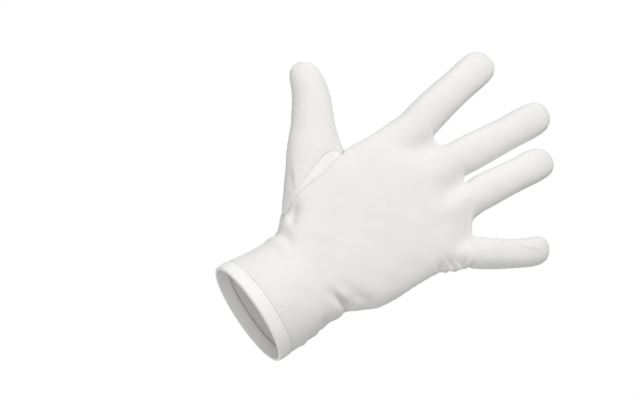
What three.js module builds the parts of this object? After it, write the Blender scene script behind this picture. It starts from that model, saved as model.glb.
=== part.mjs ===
// A white knitted dress glove for the right hand, in the form that an open hand gives it.
// Millimetres. The origin is the middle of the wrist opening. +Z runs up to the finger tips,
// +X points to the little finger's side, -Y is the back of the hand and +Y its palm.
// One skin of points follows the outside of the whole glove. Each sewn piece is then the part of
// that skin between its seams, thickened inwards to a wall of cloth.

import * as THREE from 'three';

// The hand's sizes
const CUFF_WIDTH = 61;
const CUFF_DEPTH = 50;
const CUFF_HEIGHT = 48.8;
const THUMB_SEAM_HEIGHT = 53.4;
const KNUCKLE_HEIGHT = 50;
const PALM_WIDTH = 97;
const PALM_DEPTH = 32;

// The fingers' and the thumb's sizes
const INDEX_LENGTH = 68;
const MIDDLE_LENGTH = 75.5;
const RING_LENGTH = 66;
const LITTLE_LENGTH = 52;
const FINGER_DEPTH = 20;
const FINGER_GAP = 1.6;
const FINGER_CURL = 5;
const WEB_FILLET = 6;
const THUMB_LENGTH = 72;
const THUMB_WIDTH = 25;
const THUMB_DEPTH = 23;

// The cloth, its seams and its hem
const CLOTH = 1;
const DOUBLED_CLOTH = 1.6;
const SEAM_GAP = 0.3;
const GUSSET_WIDTH = 11;
const SEAM_TUCK = 2.4;
const HEM_HEIGHT = 7.6;
const HEM_CLOTH = 2;
const FOLD_RISE = 2;
const PUCKER_RISE = 0.35;

// How finely the skin is divided
const FINGERS = 4;
const FINGER_COLUMNS = 4;
const COLUMNS = FINGERS * FINGER_COLUMNS;
const CUFF_ROWS = 14;
const SEAM_ROWS = 10;
const KNUCKLE_ROWS = 11;

// Where the points of a row lie round the hand, in degrees. A panel's first and last column keep
// EDGE_ANGLE from the side seams. On the thumb's side they keep more along the thumb seam, by
// OPEN_ENDS at its ends and by OPEN_MIDDLE more half way up it.
const EDGE_ANGLE = 10;
const OPEN_ENDS = 5;
const OPEN_MIDDLE = 27;

// How far up the knuckles, as shares of their height, the back, the palm and the side seams begin
// to turn into the finger roots, and where the back and the palm end to
const BACK_TURNS = 0.3;
const PALM_TURNS = 0.6;
const SIDES_TURN = 0.5;
const TURN_ENDS = 1.05;

// The exponent that squares a finger's oval, how fast the web's fillet fades from a finger's sides
// to its middle, and where up the finger its tip begins to hook
const FINGER_SQUARE = 2.2;
const FILLET_FADE = 2;
const HOOK_BEGINS = 0.55;

// What the palm's side has of a web's dip, and what the back and the palm have at a web of the
// fingers' own depth there, all as shares
const PALM_DIP = 0.5;
const BACK_WEB = 1.12;
const PALM_WEB = 1.1;

// Where the puckers begin and are full, as shares of the cuff's width, and the rows of each pucker
const PUCKERS_BEGIN = 0.42;
const PUCKERS_FULL = 0.5;
const PUCKER_ROWS = 3;

// The least cosine that a corner of a seam is mitred by
const SHARPEST_MITRE = 0.5;

// Cross-sections from the hem to the lower end of the thumb seam. left and right are shares of the
// cuff's width, back and front of its depth, square is the exponent that squares the oval.
const CUFF_SECTIONS = [
  { at: 0.00, left: -0.510, right: 0.503, back: 0.500, front: 0.500, square: 2.0 },
  { at: 0.16, left: -0.504, right: 0.505, back: 0.495, front: 0.490, square: 2.0 },
  { at: 0.38, left: -0.478, right: 0.510, back: 0.470, front: 0.470, square: 2.0 },
  { at: 0.62, left: -0.464, right: 0.498, back: 0.430, front: 0.450, square: 2.1 },
  { at: 0.84, left: -0.480, right: 0.495, back: 0.390, front: 0.430, square: 2.2 },
];

// Cross-sections along the thumb seam, as shares of the palm's width and depth. In this stretch
// left is the side that the thumb's root replaces.
const SEAM_SECTIONS = [
  { at: 0.00, left: -0.366, right: 0.312, back: 0.560, front: 0.620, square: 2.3 },
  { at: 0.12, left: -0.430, right: 0.338, back: 0.535, front: 0.630, square: 2.4 },
  { at: 0.22, left: -0.478, right: 0.370, back: 0.520, front: 0.640, square: 2.4 },
  { at: 0.34, left: -0.515, right: 0.398, back: 0.500, front: 0.645, square: 2.5 },
  { at: 0.55, left: -0.535, right: 0.414, back: 0.480, front: 0.620, square: 2.5 },
  { at: 0.80, left: -0.515, right: 0.418, back: 0.460, front: 0.560, square: 2.6 },
];

// Cross-sections from the thumb's crotch to the finger roots
const KNUCKLE_SECTIONS = [
  { at: 0.00, left: -0.487, right: 0.425, back: 0.450, front: 0.500, square: 2.6 },
  { at: 0.14, left: -0.484, right: 0.430, back: 0.445, front: 0.470, square: 2.6 },
  { at: 0.28, left: -0.478, right: 0.450, back: 0.440, front: 0.450, square: 2.6 },
  { at: 0.52, left: -0.474, right: 0.510, back: 0.430, front: 0.440, square: 2.6 },
  { at: 0.80, left: -0.476, right: 0.540, back: 0.400, front: 0.420, square: 2.6 },
  { at: 1.10, left: -0.484, right: 0.550, back: 0.370, front: 0.400, square: 2.6 },
];

// The ends of the finger roots, from the index finger's free side over the three webs to the
// little finger's free side. across is a share of the palm's width, up of the knuckles' height,
// dip the share of the web's fillet by which the back of the web lies lower, fillet the share of
// the web's fillet that the finger's side has there.
const ROOTS = [
  { across: -0.480, up: 0.846, dip: 0.0, fillet: 1.2 },
  { across: -0.230, up: 0.996, dip: 0.2, fillet: 1.0 },
  { across: 0.068, up: 1.050, dip: 0.2, fillet: 0.7 },
  { across: 0.361, up: 0.752, dip: 0.2, fillet: 1.6 },
  { across: 0.510, up: 0.500, dip: 0.0, fillet: 1.2 },
];

// The fingers. wide is the finger's width as a share of the palm's, lean its lean from +Z in
// degrees, drift, bow and hook how far its middle line stands off to +X at the root, half way up
// and at the tip, as shares of the finger's width, deep the share of a finger's depth.
const FINGER_TABLE = [
  { long: INDEX_LENGTH, wide: 0.25, lean: -8.7, drift: -0.06, bow: -0.07, hook: -0.04, deep: 1 },
  { long: MIDDLE_LENGTH, wide: 0.244, lean: 6.4, drift: 0.04, bow: 0.01, hook: -0.01, deep: 1 },
  { long: RING_LENGTH, wide: 0.236, lean: 4.4, drift: -0.19, bow: -0.05, hook: -0.06, deep: 0.97 },
  { long: LITTLE_LENGTH, wide: 0.21, lean: 31.2, drift: 0.05, bow: 0.08, hook: -0.05, deep: 0.88 },
];

// Every finger's outline. at is a share of its length, wide and deep of its width and depth.
const FINGER_PROFILE = [
  { at: 0.00, wide: 1.00, deep: 1.00 },
  { at: 0.20, wide: 0.99, deep: 0.99 },
  { at: 0.40, wide: 0.95, deep: 0.95 },
  { at: 0.58, wide: 0.92, deep: 0.90 },
  { at: 0.74, wide: 0.94, deep: 0.86 },
  { at: 0.84, wide: 0.92, deep: 0.80 },
  { at: 0.91, wide: 0.82, deep: 0.68 },
  { at: 0.96, wide: 0.62, deep: 0.50 },
  { at: 0.99, wide: 0.34, deep: 0.28 },
];

// Where a finger's rings lie, as shares of its length past the web's fillet, and the last one
const FINGER_RINGS = [0.0, 0.09, 0.18, 0.27, 0.36, 0.45, 0.54, 0.63, 0.72, 0.80, 0.87, 0.93, 0.975];
const FILLET_RINGS = [0.2, 0.5];

// The thumb from its seam to its tip. along and aside place the middle, as shares of the thumb's
// length, lean is the section's lean from +Z in degrees, wide, deep and forward (to the palm) are
// shares of the thumb's width and depth.
const THUMB_SECTIONS = [
  { along: 0.000, aside: 0.000, lean: -13.6, wide: 2.15, deep: 1.14, forward: 0.06 },
  { along: 0.100, aside: 0.014, lean: -6.0, wide: 1.80, deep: 1.16, forward: 0.08 },
  { along: 0.210, aside: 0.030, lean: 4.5, wide: 1.49, deep: 1.12, forward: 0.10 },
  { along: 0.315, aside: 0.042, lean: 17.0, wide: 1.29, deep: 1.06, forward: 0.12 },
  { along: 0.400, aside: 0.052, lean: 25.0, wide: 1.15, deep: 1.00, forward: 0.13 },
  { along: 0.494, aside: 0.062, lean: 27.0, wide: 1.03, deep: 0.95, forward: 0.14 },
  { along: 0.594, aside: 0.070, lean: 27.0, wide: 0.97, deep: 0.91, forward: 0.15 },
  { along: 0.694, aside: 0.076, lean: 27.0, wide: 0.91, deep: 0.86, forward: 0.16 },
  { along: 0.792, aside: 0.068, lean: 24.0, wide: 0.84, deep: 0.78, forward: 0.16 },
  { along: 0.880, aside: 0.044, lean: 20.0, wide: 0.75, deep: 0.66, forward: 0.15 },
  { along: 0.950, aside: 0.022, lean: 16.0, wide: 0.58, deep: 0.48, forward: 0.14 },
  { along: 1.000, aside: 0.002, lean: 14.0, wide: 0.30, deep: 0.26, forward: 0.13 },
];
const THUMB_SPLAY = -61.4;
const THUMB_RINGS = [0.23, 0.29, 0.35, 0.42, 0.50, 0.58, 0.66, 0.74, 0.81, 0.87, 0.92, 0.96];

// The share of the thumb's length over which the seam's own outline fades out
const SEAM_FADE = 0.42;

// The most of the way to the thumb's first ring that the gusset can take
const GUSSET_REACH = 0.8;

// The gusset's width along the thumb seam, from its upper end to its lower end
const GUSSET_SECTIONS = [
  { at: 0.10, wide: 0.12 },
  { at: 0.20, wide: 0.56 },
  { at: 0.32, wide: 0.94 },
  { at: 0.44, wide: 1.00 },
  { at: 0.60, wide: 0.62 },
  { at: 0.74, wide: 0.24 },
  { at: 0.90, wide: 0.12 },
];

// Folds and hollows. across, long and wide are shares of the palm's width, up of the height from
// the hem to the finger roots, turn the fold's direction in degrees from +X to +Z, rise a share of
// the fold's height, below zero in a hollow. side tells whether the back, the palm or both take it.
const FOLDS = [
  { side: 'back', across: -0.345, up: 0.342, turn: -42, long: 0.22, wide: 0.070, rise: -1.10 },
  { side: 'back', across: -0.250, up: 0.262, turn: -12, long: 0.22, wide: 0.05, rise: -0.65 },
  { side: 'back', across: -0.270, up: 0.225, turn: -4, long: 0.26, wide: 0.06, rise: 0.55 },
  { side: 'back', across: 0.235, up: 0.303, turn: 31, long: 0.34, wide: 0.055, rise: -1.20 },
  { side: 'back', across: 0.265, up: 0.340, turn: 31, long: 0.28, wide: 0.055, rise: 0.85 },
  { side: 'both', across: 0.290, up: 0.372, turn: 40, long: 0.22, wide: 0.060, rise: -0.70 },
  { side: 'both', across: 0.290, up: 0.222, turn: 55, long: 0.14, wide: 0.050, rise: -0.60 },
  { side: 'both', across: 0.425, up: 0.722, turn: 12, long: 0.16, wide: 0.035, rise: -0.70 },
  { side: 'both', across: 0.440, up: 0.760, turn: 14, long: 0.20, wide: 0.035, rise: -0.80 },
  { side: 'both', across: 0.458, up: 0.798, turn: 16, long: 0.20, wide: 0.035, rise: -0.80 },
  { side: 'back', across: 0.420, up: 0.815, turn: 122, long: 0.14, wide: 0.045, rise: 0.50 },
  { side: 'back', across: 0.070, up: 0.900, turn: 92, long: 0.46, wide: 0.110, rise: -0.35 },
  { side: 'back', across: 0.250, up: 0.860, turn: 55, long: 0.40, wide: 0.130, rise: -0.45 },
  { side: 'back', across: 0.095, up: 0.840, turn: 80, long: 0.50, wide: 0.080, rise: 0.35 },
  { side: 'back', across: -0.230, up: 0.880, turn: 95, long: 0.42, wide: 0.120, rise: -0.30 },
  { side: 'front', across: -0.080, up: 0.560, turn: 72, long: 0.66, wide: 0.070, rise: -0.80 },
  { side: 'front', across: 0.080, up: 0.780, turn: -14, long: 0.62, wide: 0.060, rise: -0.60 },
  { side: 'front', across: 0.020, up: 0.650, turn: -28, long: 0.50, wide: 0.060, rise: -0.45 },
  { side: 'front', across: -0.120, up: 0.240, turn: 6, long: 0.50, wide: 0.060, rise: -0.70 },
  { side: 'front', across: 0.100, up: 0.290, turn: -8, long: 0.40, wide: 0.055, rise: -0.55 },
];

const CLOTH_COLOUR = 0xe9e9e6;
const HEM_COLOUR = 0xf2f4f5;
const ROUGHNESS = 0.9;

const SEAM_FOOT = CUFF_HEIGHT;
const CROTCH = SEAM_FOOT + THUMB_SEAM_HEIGHT;
const ROOT_HEIGHT = CROTCH + KNUCKLE_HEIGHT;
const { degToRad, lerp, smoothstep } = THREE.MathUtils;

// A smooth curve through one column of a table, at the place that its key column gives
function sample(table, place, column, key = 'at') {
  const last = table.length - 1;
  const found = table.findIndex((row) => row[key] > place);
  if (found === 0) return table[0][column];
  if (found < 0) return table[last][column];
  const slope = (i) => {
    const a = table[Math.max(i - 1, 0)];
    const b = table[Math.min(i + 1, last)];
    return (b[column] - a[column]) / (b[key] - a[key]);
  };
  const from = table[found - 1];
  const to = table[found];
  const span = to[key] - from[key];
  const t = (place - from[key]) / span;
  const ease = t * t * (3 - 2 * t);
  const leave = t * (1 - t) * (1 - t) * span * slope(found - 1);
  const arrive = t * t * (t - 1) * span * slope(found);
  return lerp(from[column], to[column], ease) + leave + arrive;
}

// The palm's cross-sections in millimetres, in one list from the hem to the finger roots
function handSections() {
  const stretch = (table, bottom, height, width, depth) =>
    table.map((row) => ({
      at: bottom + row.at * height,
      left: row.left * width,
      right: row.right * width,
      back: row.back * depth,
      front: row.front * depth,
      square: row.square,
    }));
  return [
    ...stretch(CUFF_SECTIONS, 0, CUFF_HEIGHT, CUFF_WIDTH, CUFF_DEPTH),
    ...stretch(SEAM_SECTIONS, SEAM_FOOT, THUMB_SEAM_HEIGHT, PALM_WIDTH, PALM_DEPTH),
    ...stretch(KNUCKLE_SECTIONS, CROTCH, KNUCKLE_HEIGHT, PALM_WIDTH, PALM_DEPTH),
  ];
}

const SECTIONS = handSections();

// A squared oval's cosine or sine
function squared(value, square) {
  return Math.sign(value) * Math.abs(value) ** (2 / square);
}

// A point of the hand's cross-section at height z. The angle runs from the thumb's side at 0 over
// the back at 90 and the little finger's side at 180 to the palm at 270 degrees.
function handPoint(z, angle) {
  const left = sample(SECTIONS, z, 'left');
  const right = sample(SECTIONS, z, 'right');
  const square = sample(SECTIONS, z, 'square');
  const side = Math.sin(degToRad(angle));
  const depth = sample(SECTIONS, z, side > 0 ? 'back' : 'front');
  const x = lerp(left, right, (1 - squared(Math.cos(degToRad(angle)), square)) / 2);
  return new THREE.Vector3(x, -depth * squared(side, square), z);
}

// The glove's outside: points, and faces that each belong to one sewn piece. A face's corners run
// anticlockwise seen from outside.
class Skin {
  constructor() {
    this.points = [];
    this.faces = [];
  }

  point(position) {
    this.points.push(position);
    return this.points.length - 1;
  }

  face(piece, corners) {
    this.faces.push({ piece, corners });
  }

  // Joins two closed rows of points. A missing point leaves a triangle or no face.
  band(lower, upper, pieceOf) {
    const count = lower.length;
    for (let i = 0; i < count; i += 1) {
      const next = (i + 1) % count;
      const corners = [lower[i], lower[next], upper[next], upper[i]].filter((id) => id !== null);
      if (corners.length > 2) this.face(pieceOf(i), corners);
    }
  }

  // Closes a row of points with a fan round its tip
  fan(row, tip, pieceOf) {
    const count = row.length;
    for (let i = 0; i < count; i += 1) this.face(pieceOf(i), [row[i], row[(i + 1) % count], tip]);
  }

  // The direction out of the skin at each point
  normals() {
    const sums = this.points.map(() => new THREE.Vector3());
    for (const { corners } of this.faces) {
      const [a, b, c] = corners.map((id) => this.points[id]);
      const d = this.points[corners[corners.length - 1]];
      const area = c.clone().sub(a).cross(d.clone().sub(b));
      if (corners.length === 3) area.copy(b.clone().sub(a).cross(c.clone().sub(a)));
      corners.forEach((id) => sums[id].add(area));
    }
    return sums.map((sum) => sum.normalize());
  }
}

// One end of the finger roots, on the middle line between back and palm
function rootPoint(index) {
  const root = ROOTS[index];
  return new THREE.Vector3(root.across * PALM_WIDTH, 0, CROTCH + root.up * KNUCKLE_HEIGHT);
}

// A finger's middle line, its sections and the rings that they give
class Finger {
  constructor(index) {
    const row = FINGER_TABLE[index];
    this.row = row;
    this.left = rootPoint(index);
    this.right = rootPoint(index + 1);
    this.middle = this.left.clone().lerp(this.right, 0.5);
    this.rootWidth = this.left.distanceTo(this.right);
    this.width = row.wide * PALM_WIDTH - FINGER_GAP;
    this.leftFillet = ROOTS[index].fillet * WEB_FILLET;
    this.rightFillet = ROOTS[index + 1].fillet * WEB_FILLET;
    this.fillet = Math.max(this.leftFillet, this.rightFillet);
    this.rootAcross = this.right.clone().sub(this.left).normalize();
    const lean = degToRad(row.lean);
    this.axis = new THREE.Vector3(Math.sin(lean), 0, Math.cos(lean));
    this.across = new THREE.Vector3(Math.cos(lean), 0, -Math.sin(lean));
  }

  // How far the middle line stands off because of the drift
  drift(share) {
    return this.row.drift * (1 - share) * this.width;
  }

  // The middle of the section that lies this far up the finger
  centre(distance) {
    const share = distance / this.row.long;
    const bow = this.row.bow * 4 * share * (1 - share);
    const hook = this.row.hook * smoothstep(share, HOOK_BEGINS, 1);
    return this.middle.clone()
      .addScaledVector(this.axis, distance)
      .addScaledVector(this.across, this.drift(share) + (bow + hook) * this.width)
      .add(new THREE.Vector3(0, FINGER_CURL * share * share, 0));
  }

  // A point of that section. The angle runs as in handPoint.
  pointAt(distance, angle) {
    const share = distance / this.row.long;
    const aside = Math.cos(degToRad(angle));
    const filled = Math.max(1 - distance / (aside > 0 ? this.leftFillet : this.rightFillet), 0);
    const sided = Math.abs(aside) ** FILLET_FADE;
    const fillet = sided * (1 - Math.sqrt(1 - filled * filled));
    const shaft = this.width * sample(FINGER_PROFILE, share, 'wide');
    const side = -squared(aside, FINGER_SQUARE);
    const offset = lerp((side * shaft) / 2, (side * this.rootWidth) / 2 - this.drift(share), fillet);
    const depth = FINGER_DEPTH * this.row.deep * sample(FINGER_PROFILE, share, 'deep');
    const turned = smoothstep(distance, 0, 2 * this.fillet);
    const across = this.rootAcross.clone().lerp(this.across, turned).normalize();
    return this.centre(distance)
      .addScaledVector(across, offset)
      .add(new THREE.Vector3(0, (-depth / 2) * squared(Math.sin(degToRad(angle)), FINGER_SQUARE), 0));
  }

  tip() {
    return this.centre(this.row.long);
  }
}

// The angles of the points of a finger's ring, two more on each panel than there are columns
const FINGER_SIDES = 2 * (FINGER_COLUMNS + 2);
const FINGER_ANGLES = Array.from({ length: FINGER_SIDES }, (unused, i) => (360 * i) / FINGER_SIDES);

const fingers = FINGER_TABLE.map((row, index) => new Finger(index));

// The root of the column, on the back or on the palm, where the fingers begin
function rootOfColumn(column, front) {
  const mirror = (angle) => (front ? 360 - angle : angle);
  const step = column % FINGER_COLUMNS;
  const index = Math.min(Math.floor(column / FINGER_COLUMNS), FINGERS - 1);
  if (step > 0) return fingers[index].pointAt(0, mirror(FINGER_ANGLES[step + 1]));
  const web = column / FINGER_COLUMNS;
  const first = FINGER_ANGLES[1];
  const last = FINGER_ANGLES[FINGER_COLUMNS + 1];
  const right = fingers[Math.min(web, FINGERS - 1)].pointAt(0, mirror(web < FINGERS ? first : last));
  const left = fingers[Math.max(web - 1, 0)].pointAt(0, mirror(web > 0 ? last : first));
  const root = left.lerp(right, 0.5);
  if (ROOTS[web].dip > 0) root.y *= front ? PALM_WEB : BACK_WEB;
  const dip = ROOTS[web].dip * WEB_FILLET * (front ? PALM_DIP : 1);
  return root.sub(new THREE.Vector3(0, 0, dip));
}

// How far a row lies up the thumb seam, from 0 to 1, or 0 outside it
function seamShare(row) {
  const share = (row - CUFF_ROWS) / SEAM_ROWS;
  return share > 0 && share < 1 ? share : 0;
}

// A point of one of the hand's rows, on the back or on the palm
function columnPoint(row, column, front) {
  const seamRow = row - CUFF_ROWS;
  const knuckleRow = seamRow - SEAM_ROWS;
  const top = rootOfColumn(column, front);
  const share = seamShare(row);
  const open = share > 0 ? OPEN_ENDS + OPEN_MIDDLE * Math.sin(Math.PI * share) : 0;
  const angle = lerp(EDGE_ANGLE + open, 180 - EDGE_ANGLE, column / COLUMNS);
  const climb = Math.max(knuckleRow / KNUCKLE_ROWS, 0);
  let z = lerp(CROTCH, top.z, climb);
  if (knuckleRow <= 0) z = SEAM_FOOT + (THUMB_SEAM_HEIGHT * seamRow) / SEAM_ROWS;
  if (seamRow <= 0) z = lerp(HEM_HEIGHT, SEAM_FOOT, row / CUFF_ROWS);
  const point = handPoint(z, front ? 360 - angle : angle);
  point.x = lerp(point.x, top.x, smoothstep(climb, 0, 1));
  point.y = lerp(point.y, top.y, smoothstep(climb, front ? PALM_TURNS : BACK_TURNS, TURN_ENDS));
  return point;
}

// The point of a row on the thumb's side or on the little finger's side
function edgePoint(row, atThumb) {
  const knuckleRow = row - CUFF_ROWS - SEAM_ROWS;
  const climb = Math.max(knuckleRow / KNUCKLE_ROWS, 0);
  const top = rootPoint(atThumb ? 0 : FINGERS);
  const z = climb > 0 ? lerp(CROTCH, top.z, climb) : columnPoint(row, 0, false).z;
  const point = handPoint(z, atThumb ? 0 : 180);
  point.x = lerp(point.x, top.x, smoothstep(climb, SIDES_TURN, 1));
  point.y = 0;
  return point;
}

// The rows round the hand, each from the thumb's side over the back to the palm. Between the ends
// of the thumb seam the thumb's side is missing.
function handRows(skin) {
  const rows = [];
  for (let row = 0; row <= CUFF_ROWS + SEAM_ROWS + KNUCKLE_ROWS; row += 1) {
    const back = [];
    const front = [];
    for (let column = 0; column <= COLUMNS; column += 1) {
      back.push(skin.point(columnPoint(row, column, false)));
      front.unshift(skin.point(columnPoint(row, column, true)));
    }
    const thumbSide = seamShare(row) > 0 ? null : skin.point(edgePoint(row, true));
    const littleSide = skin.point(edgePoint(row, false));
    rows.push([thumbSide, ...back, littleSide, ...front]);
  }
  return rows;
}

// Which panel a face of the hand or of a finger belongs to
function panelOf(ring) {
  return (i) => (i < ring.length / 2 ? 'back_panel' : 'palm_panel');
}

function addHand(skin) {
  const rows = handRows(skin);
  for (let row = 1; row < rows.length; row += 1) {
    skin.band(rows[row - 1], rows[row], panelOf(rows[row]));
  }
  return rows;
}

// A finger's first ring, from points that the hand's last row and the webs already have
function fingerRoot(index, lastRow, webs) {
  const backStart = 1 + index * FINGER_COLUMNS;
  const frontStart = 3 + COLUMNS + (FINGERS - 1 - index) * FINGER_COLUMNS;
  const back = lastRow.slice(backStart, backStart + FINGER_COLUMNS + 1);
  const front = lastRow.slice(frontStart, frontStart + FINGER_COLUMNS + 1);
  return [webs[index], ...back, webs[index + 1], ...front];
}

function addFingers(skin, lastRow) {
  const webs = [lastRow[0]];
  for (let web = 1; web < FINGERS; web += 1) webs.push(skin.point(rootPoint(web)));
  webs.push(lastRow[COLUMNS + 2]);
  fingers.forEach((finger, index) => {
    let ring = fingerRoot(index, lastRow, webs);
    const distances = FILLET_RINGS.map((share) => share * finger.fillet);
    const shaft = finger.row.long - finger.fillet;
    for (const share of FINGER_RINGS) distances.push(finger.fillet + share * shaft);
    for (const distance of distances) {
      const next = FINGER_ANGLES.map((angle) => skin.point(finger.pointAt(distance, angle)));
      skin.band(ring, next, panelOf(next));
      ring = next;
    }
    skin.fan(ring, skin.point(finger.tip()), panelOf(ring));
  });
}

// The thumb's own sections, before they meet the seam
function thumbPoint(share, angle) {
  const value = (column) => sample(THUMB_SECTIONS, share, column, 'along');
  const splay = degToRad(THUMB_SPLAY);
  const lean = degToRad(value('lean'));
  const foot = handPoint(SEAM_FOOT, 0);
  const middle = handPoint(CROTCH, 0).lerp(foot, 0.5);
  const axis = new THREE.Vector3(Math.sin(splay), 0, Math.cos(splay));
  const aside = new THREE.Vector3(Math.cos(splay), 0, -Math.sin(splay));
  const upward = new THREE.Vector3(Math.sin(lean), 0, Math.cos(lean));
  const half = (value('wide') * THUMB_WIDTH) / 2;
  const depth = (value('deep') * THUMB_DEPTH) / 2;
  return middle
    .addScaledVector(axis, share * THUMB_LENGTH)
    .addScaledVector(aside, value('aside') * THUMB_LENGTH)
    .addScaledVector(upward, half * Math.cos(degToRad(angle)))
    .add(new THREE.Vector3(0, depth * Math.sin(degToRad(angle)), 0))
    .add(new THREE.Vector3(0, value('forward') * THUMB_DEPTH, 0));
}

// The closed seam where the thumb is set in: from the crotch down the palm and up the back
function thumbSeam(rows) {
  const foot = CUFF_ROWS;
  const crotch = CUFF_ROWS + SEAM_ROWS;
  const seam = [rows[crotch][0]];
  for (let row = crotch - 1; row > foot; row -= 1) seam.push(rows[row][rows[row].length - 1]);
  seam.push(rows[foot][0]);
  for (let row = foot + 1; row < crotch; row += 1) seam.push(rows[row][1]);
  return seam;
}

// How wide the first row past the seam is: the gusset on the back, and elsewhere the seam's tuck
function gussetWidth(index) {
  const down = (2 * SEAM_ROWS - index) / SEAM_ROWS;
  if (index === 0 || down >= 1) return SEAM_TUCK;
  return GUSSET_WIDTH * sample(GUSSET_SECTIONS, down, 'wide');
}

// Adds the thumb. It gives back the gusset's points, each with the share of the doubled cloth
// that it stands proud by.
function addThumb(skin, rows) {
  const seam = thumbSeam(rows);
  const count = seam.length;
  const angles = seam.map((id, index) => (360 * index) / count);
  const offsets = seam.map((id, index) => skin.points[id].clone().sub(thumbPoint(0, angles[index])));
  const placeOf = (share, index) => {
    const fade = 1 - smoothstep(share, 0, SEAM_FADE);
    return thumbPoint(share, angles[index]).addScaledVector(offsets[index], fade);
  };
  const ringOf = (shareOf) => seam.map((id, index) => skin.point(placeOf(shareOf(index), index)));
  const half = (i) => (i < count / 2 ? 'thumb_front' : 'thumb_back');
  const gussetShare = (index) => {
    const reach = skin.points[seam[index]].distanceTo(placeOf(THUMB_RINGS[0], index));
    return THUMB_RINGS[0] * Math.min(gussetWidth(index) / reach, GUSSET_REACH);
  };
  const gusset = ringOf(gussetShare);
  const inGusset = (i) => i > count / 2 && i < count - 1;
  skin.band(seam, gusset, (i) => (inGusset(i) ? 'thumb_gusset' : half(i)));
  const between = ringOf((index) => lerp(gussetShare(index), THUMB_RINGS[0], 0.5));
  skin.band(gusset, between, half);
  let ring = between;
  for (const share of THUMB_RINGS) {
    const next = ringOf(() => share);
    skin.band(ring, next, half);
    ring = next;
  }
  const end = thumbPoint(1, 0).add(thumbPoint(1, 180)).multiplyScalar(0.5);
  skin.fan(ring, skin.point(end), half);
  const shares = new Map();
  for (let i = count / 2 + 1; i < count; i += 1) {
    const share = (gussetWidth(i) / GUSSET_WIDTH) ** 2;
    shares.set(seam[i], share);
    shares.set(gusset[i], share);
  }
  return shares;
}

// How much one fold raises the skin at a point
function foldRise(fold, point) {
  if (fold.side === 'back' && point.y > 0) return 0;
  if (fold.side === 'front' && point.y < 0) return 0;
  const turn = degToRad(fold.turn);
  const x = point.x - fold.across * PALM_WIDTH;
  const z = point.z - fold.up * ROOT_HEIGHT;
  const along = (2 * (x * Math.cos(turn) + z * Math.sin(turn))) / (fold.long * PALM_WIDTH);
  const beside = (2 * (z * Math.cos(turn) - x * Math.sin(turn))) / (fold.wide * PALM_WIDTH);
  const fade = Math.max(1 - along * along, 0);
  return FOLD_RISE * fold.rise * fade * fade * Math.exp(-beside * beside);
}

// The small puckers along the seam at the little finger's side of the cuff
function puckerRise(point) {
  const pitch = (PUCKER_ROWS * (SEAM_FOOT - HEM_HEIGHT)) / CUFF_ROWS;
  const side = smoothstep(point.x / CUFF_WIDTH, PUCKERS_BEGIN, PUCKERS_FULL);
  const height = smoothstep(point.z, HEM_HEIGHT, HEM_HEIGHT + pitch);
  const fade = side * height * (1 - smoothstep(point.z, SEAM_FOOT - pitch, SEAM_FOOT));
  return PUCKER_RISE * fade * Math.cos((2 * Math.PI * (point.z - HEM_HEIGHT)) / pitch);
}

function addFolds(skin) {
  const normals = skin.normals();
  skin.points.forEach((point, id) => {
    const rises = FOLDS.map((fold) => foldRise(fold, point));
    const rise = rises.reduce((sum, value) => sum + value, puckerRise(point));
    point.addScaledVector(normals[id], rise);
  });
}

// The edges of a set of faces that only one of them has, each with the interior on its left
function openEdges(faces) {
  const edges = new Map();
  for (const { corners } of faces) {
    corners.forEach((from, i) => {
      const to = corners[(i + 1) % corners.length];
      edges.set(`${from} ${to}`, [from, to]);
    });
  }
  return [...edges.values()].filter(([from, to]) => !edges.has(`${to} ${from}`));
}

// How far each seam point of a piece draws back, so that half the seam's gap is left free
function drawBack(skin, normals, edges) {
  const inwards = new Map();
  for (const [from, to] of edges) {
    const along = skin.points[to].clone().sub(skin.points[from]);
    for (const id of [from, to]) {
      const inward = normals[id].clone().cross(along).normalize();
      inwards.set(id, [...(inwards.get(id) ?? []), inward]);
    }
  }
  const moves = new Map();
  for (const [id, directions] of inwards) {
    const sum = directions.reduce((total, one) => total.add(one), new THREE.Vector3()).normalize();
    const spread = Math.max(sum.dot(directions[0]), SHARPEST_MITRE);
    moves.set(id, sum.multiplyScalar(SEAM_GAP / 2 / spread));
  }
  return moves;
}

// One sewn piece: its faces of the skin, drawn back at the seams and thickened inwards. proudOf
// tells how far a point stands proud of the skin.
function pieceGeometry(skin, normals, piece, proudOf) {
  const faces = skin.faces.filter((face) => face.piece === piece);
  const edges = openEdges(faces);
  const moves = drawBack(skin, normals, edges);
  const places = new Map();
  const positions = [];
  for (const id of new Set(faces.flatMap((face) => face.corners))) {
    const middle = skin.points[id].clone().add(moves.get(id) ?? new THREE.Vector3());
    const outer = middle.clone().addScaledVector(normals[id], proudOf(id));
    const inner = middle.addScaledVector(normals[id], -CLOTH);
    places.set(id, positions.length / 3);
    positions.push(outer.x, outer.y, outer.z, inner.x, inner.y, inner.z);
  }
  const indices = [];
  const outer = (id) => places.get(id);
  const inner = (id) => places.get(id) + 1;
  for (const { corners } of faces) {
    for (let i = 2; i < corners.length; i += 1) {
      const [a, b, c] = [corners[0], corners[i - 1], corners[i]];
      indices.push(outer(a), outer(b), outer(c), inner(a), inner(c), inner(b));
    }
  }
  for (const [from, to] of edges) {
    indices.push(outer(from), inner(from), inner(to), outer(from), inner(to), outer(to));
  }
  return meshGeometry(positions, indices);
}

function meshGeometry(positions, indices) {
  const geometry = new THREE.BufferGeometry();
  geometry.setAttribute('position', new THREE.Float32BufferAttribute(positions, 3));
  geometry.setIndex(indices);
  geometry.computeVertexNormals();
  return geometry;
}

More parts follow.
